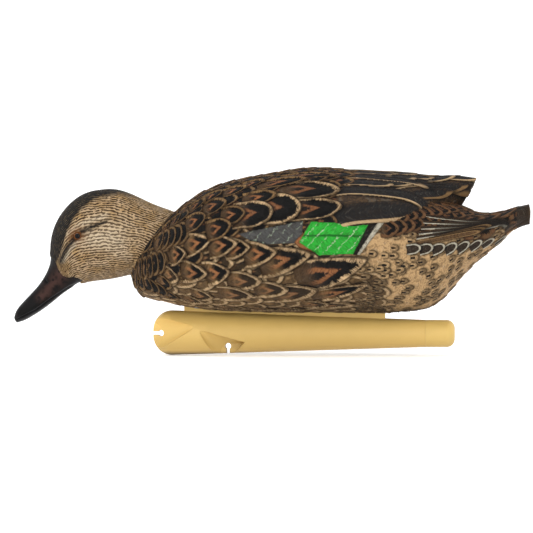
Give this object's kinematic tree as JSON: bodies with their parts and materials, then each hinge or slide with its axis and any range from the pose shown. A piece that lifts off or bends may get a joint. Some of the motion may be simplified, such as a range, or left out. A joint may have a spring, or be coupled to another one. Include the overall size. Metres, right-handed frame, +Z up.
{
  "type": "floating duck decoy",
  "caption": "Floating duck decoy with a hollow feathered body, a head that turns in a breast socket, and a weighted keel with a pull-off cap and anchor-line keyholes.",
  "frame": {"origin": "bottom centre of the bounding box: midway between bill tip and tail end, on the mirror plane, at the underside of the keel", "axes": "+X runs from the bill to the tail, +Z up, so the decoy's right side faces +Y"},
  "size_m": [0.33, 0.1262, 0.1187],
  "materials": {
    "body_shell": "matte, painted",
    "neck_socket": "matte, painted",
    "head_shell": "matte, painted",
    "neck_ring": "matte",
    "eye": "gloss",
    "keel_plastic": "matte, painted",
    "sand": "loose grains",
    "bung": "matte",
    "cap_plastic": "matte, painted",
    "seal": "matte",
    "gasket": "matte",
    "screws": "plain"
  },
  "bodies": {
    "hull": {"body_shell": "body_shell", "neck_socket": "neck_socket", "keel_shell": "keel_plastic", "keel_sand_ballast": "sand", "ballast_bung": "bung", "keel_gasket": "gasket", "keel_screws": "screws", "cap_seal": "seal"},
    "head": {"head_shell": "head_shell", "neck_friction_ring": "neck_ring", "left_eye": "eye", "right_eye": "eye"},
    "cap": {"keel_end_cap": "cap_plastic"}
  },
  "joints": [
    {"name": "head_turn", "type": "hinge", "parent": "hull", "child": "head", "pos_m": [-0.07405, 0, 0.0709], "axis": [-0.8215, 0, 0.5702], "range_deg": [-35, 35]},
    {"name": "cap_pull", "type": "slide", "parent": "hull", "child": "cap", "axis": [1, 0, 0], "range_m": [0, 0.025]}
  ]
}
